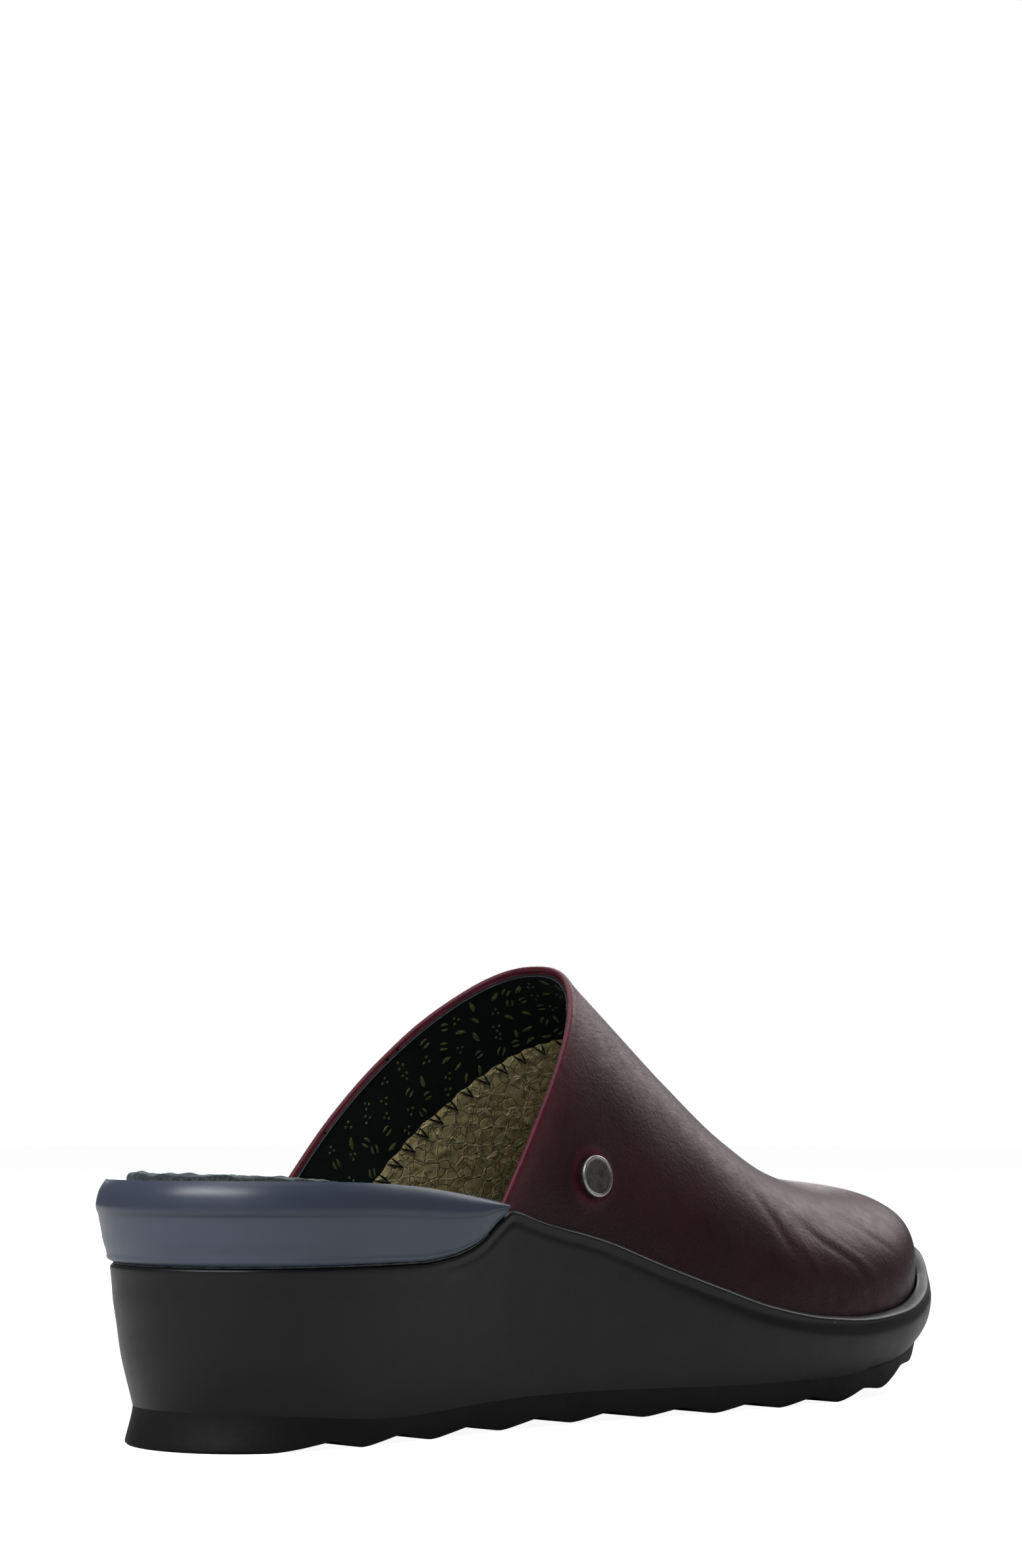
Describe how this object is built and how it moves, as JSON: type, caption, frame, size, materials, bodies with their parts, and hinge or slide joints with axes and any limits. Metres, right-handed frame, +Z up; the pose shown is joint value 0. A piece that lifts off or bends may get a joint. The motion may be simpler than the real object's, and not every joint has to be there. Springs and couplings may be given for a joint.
{
  "type": "wedge clog",
  "caption": "Backless women's clog for the right foot: closed-toe leather upper on a wedge sole with a heel collar, removable insole and lugged outsole.",
  "frame": {"origin": "centre of the shoe's bounding box, on the floor under its lugs", "axes": "+X from heel to toe, +Y towards the inner side of the foot, +Z up"},
  "size_m": [0.258, 0.0948, 0.1025],
  "materials": {
    "upper_leather": "smooth waxed leather, burgundy, soft sheen",
    "button_metal": "antiqued metal with a polished rim",
    "insole_cover": "matt textured cover, dark teal grey",
    "collar_band": "glossy blue-grey moulded band",
    "midsole_foam": "satin black moulded foam",
    "outsole_rubber": "matt black rubber"
  },
  "bodies": {
    "root": {"upper": "upper_leather", "button": "button_metal", "insole": "insole_cover", "heel_collar": "collar_band", "midsole": "midsole_foam", "outsole": "outsole_rubber"}
  },
  "joints": []
}
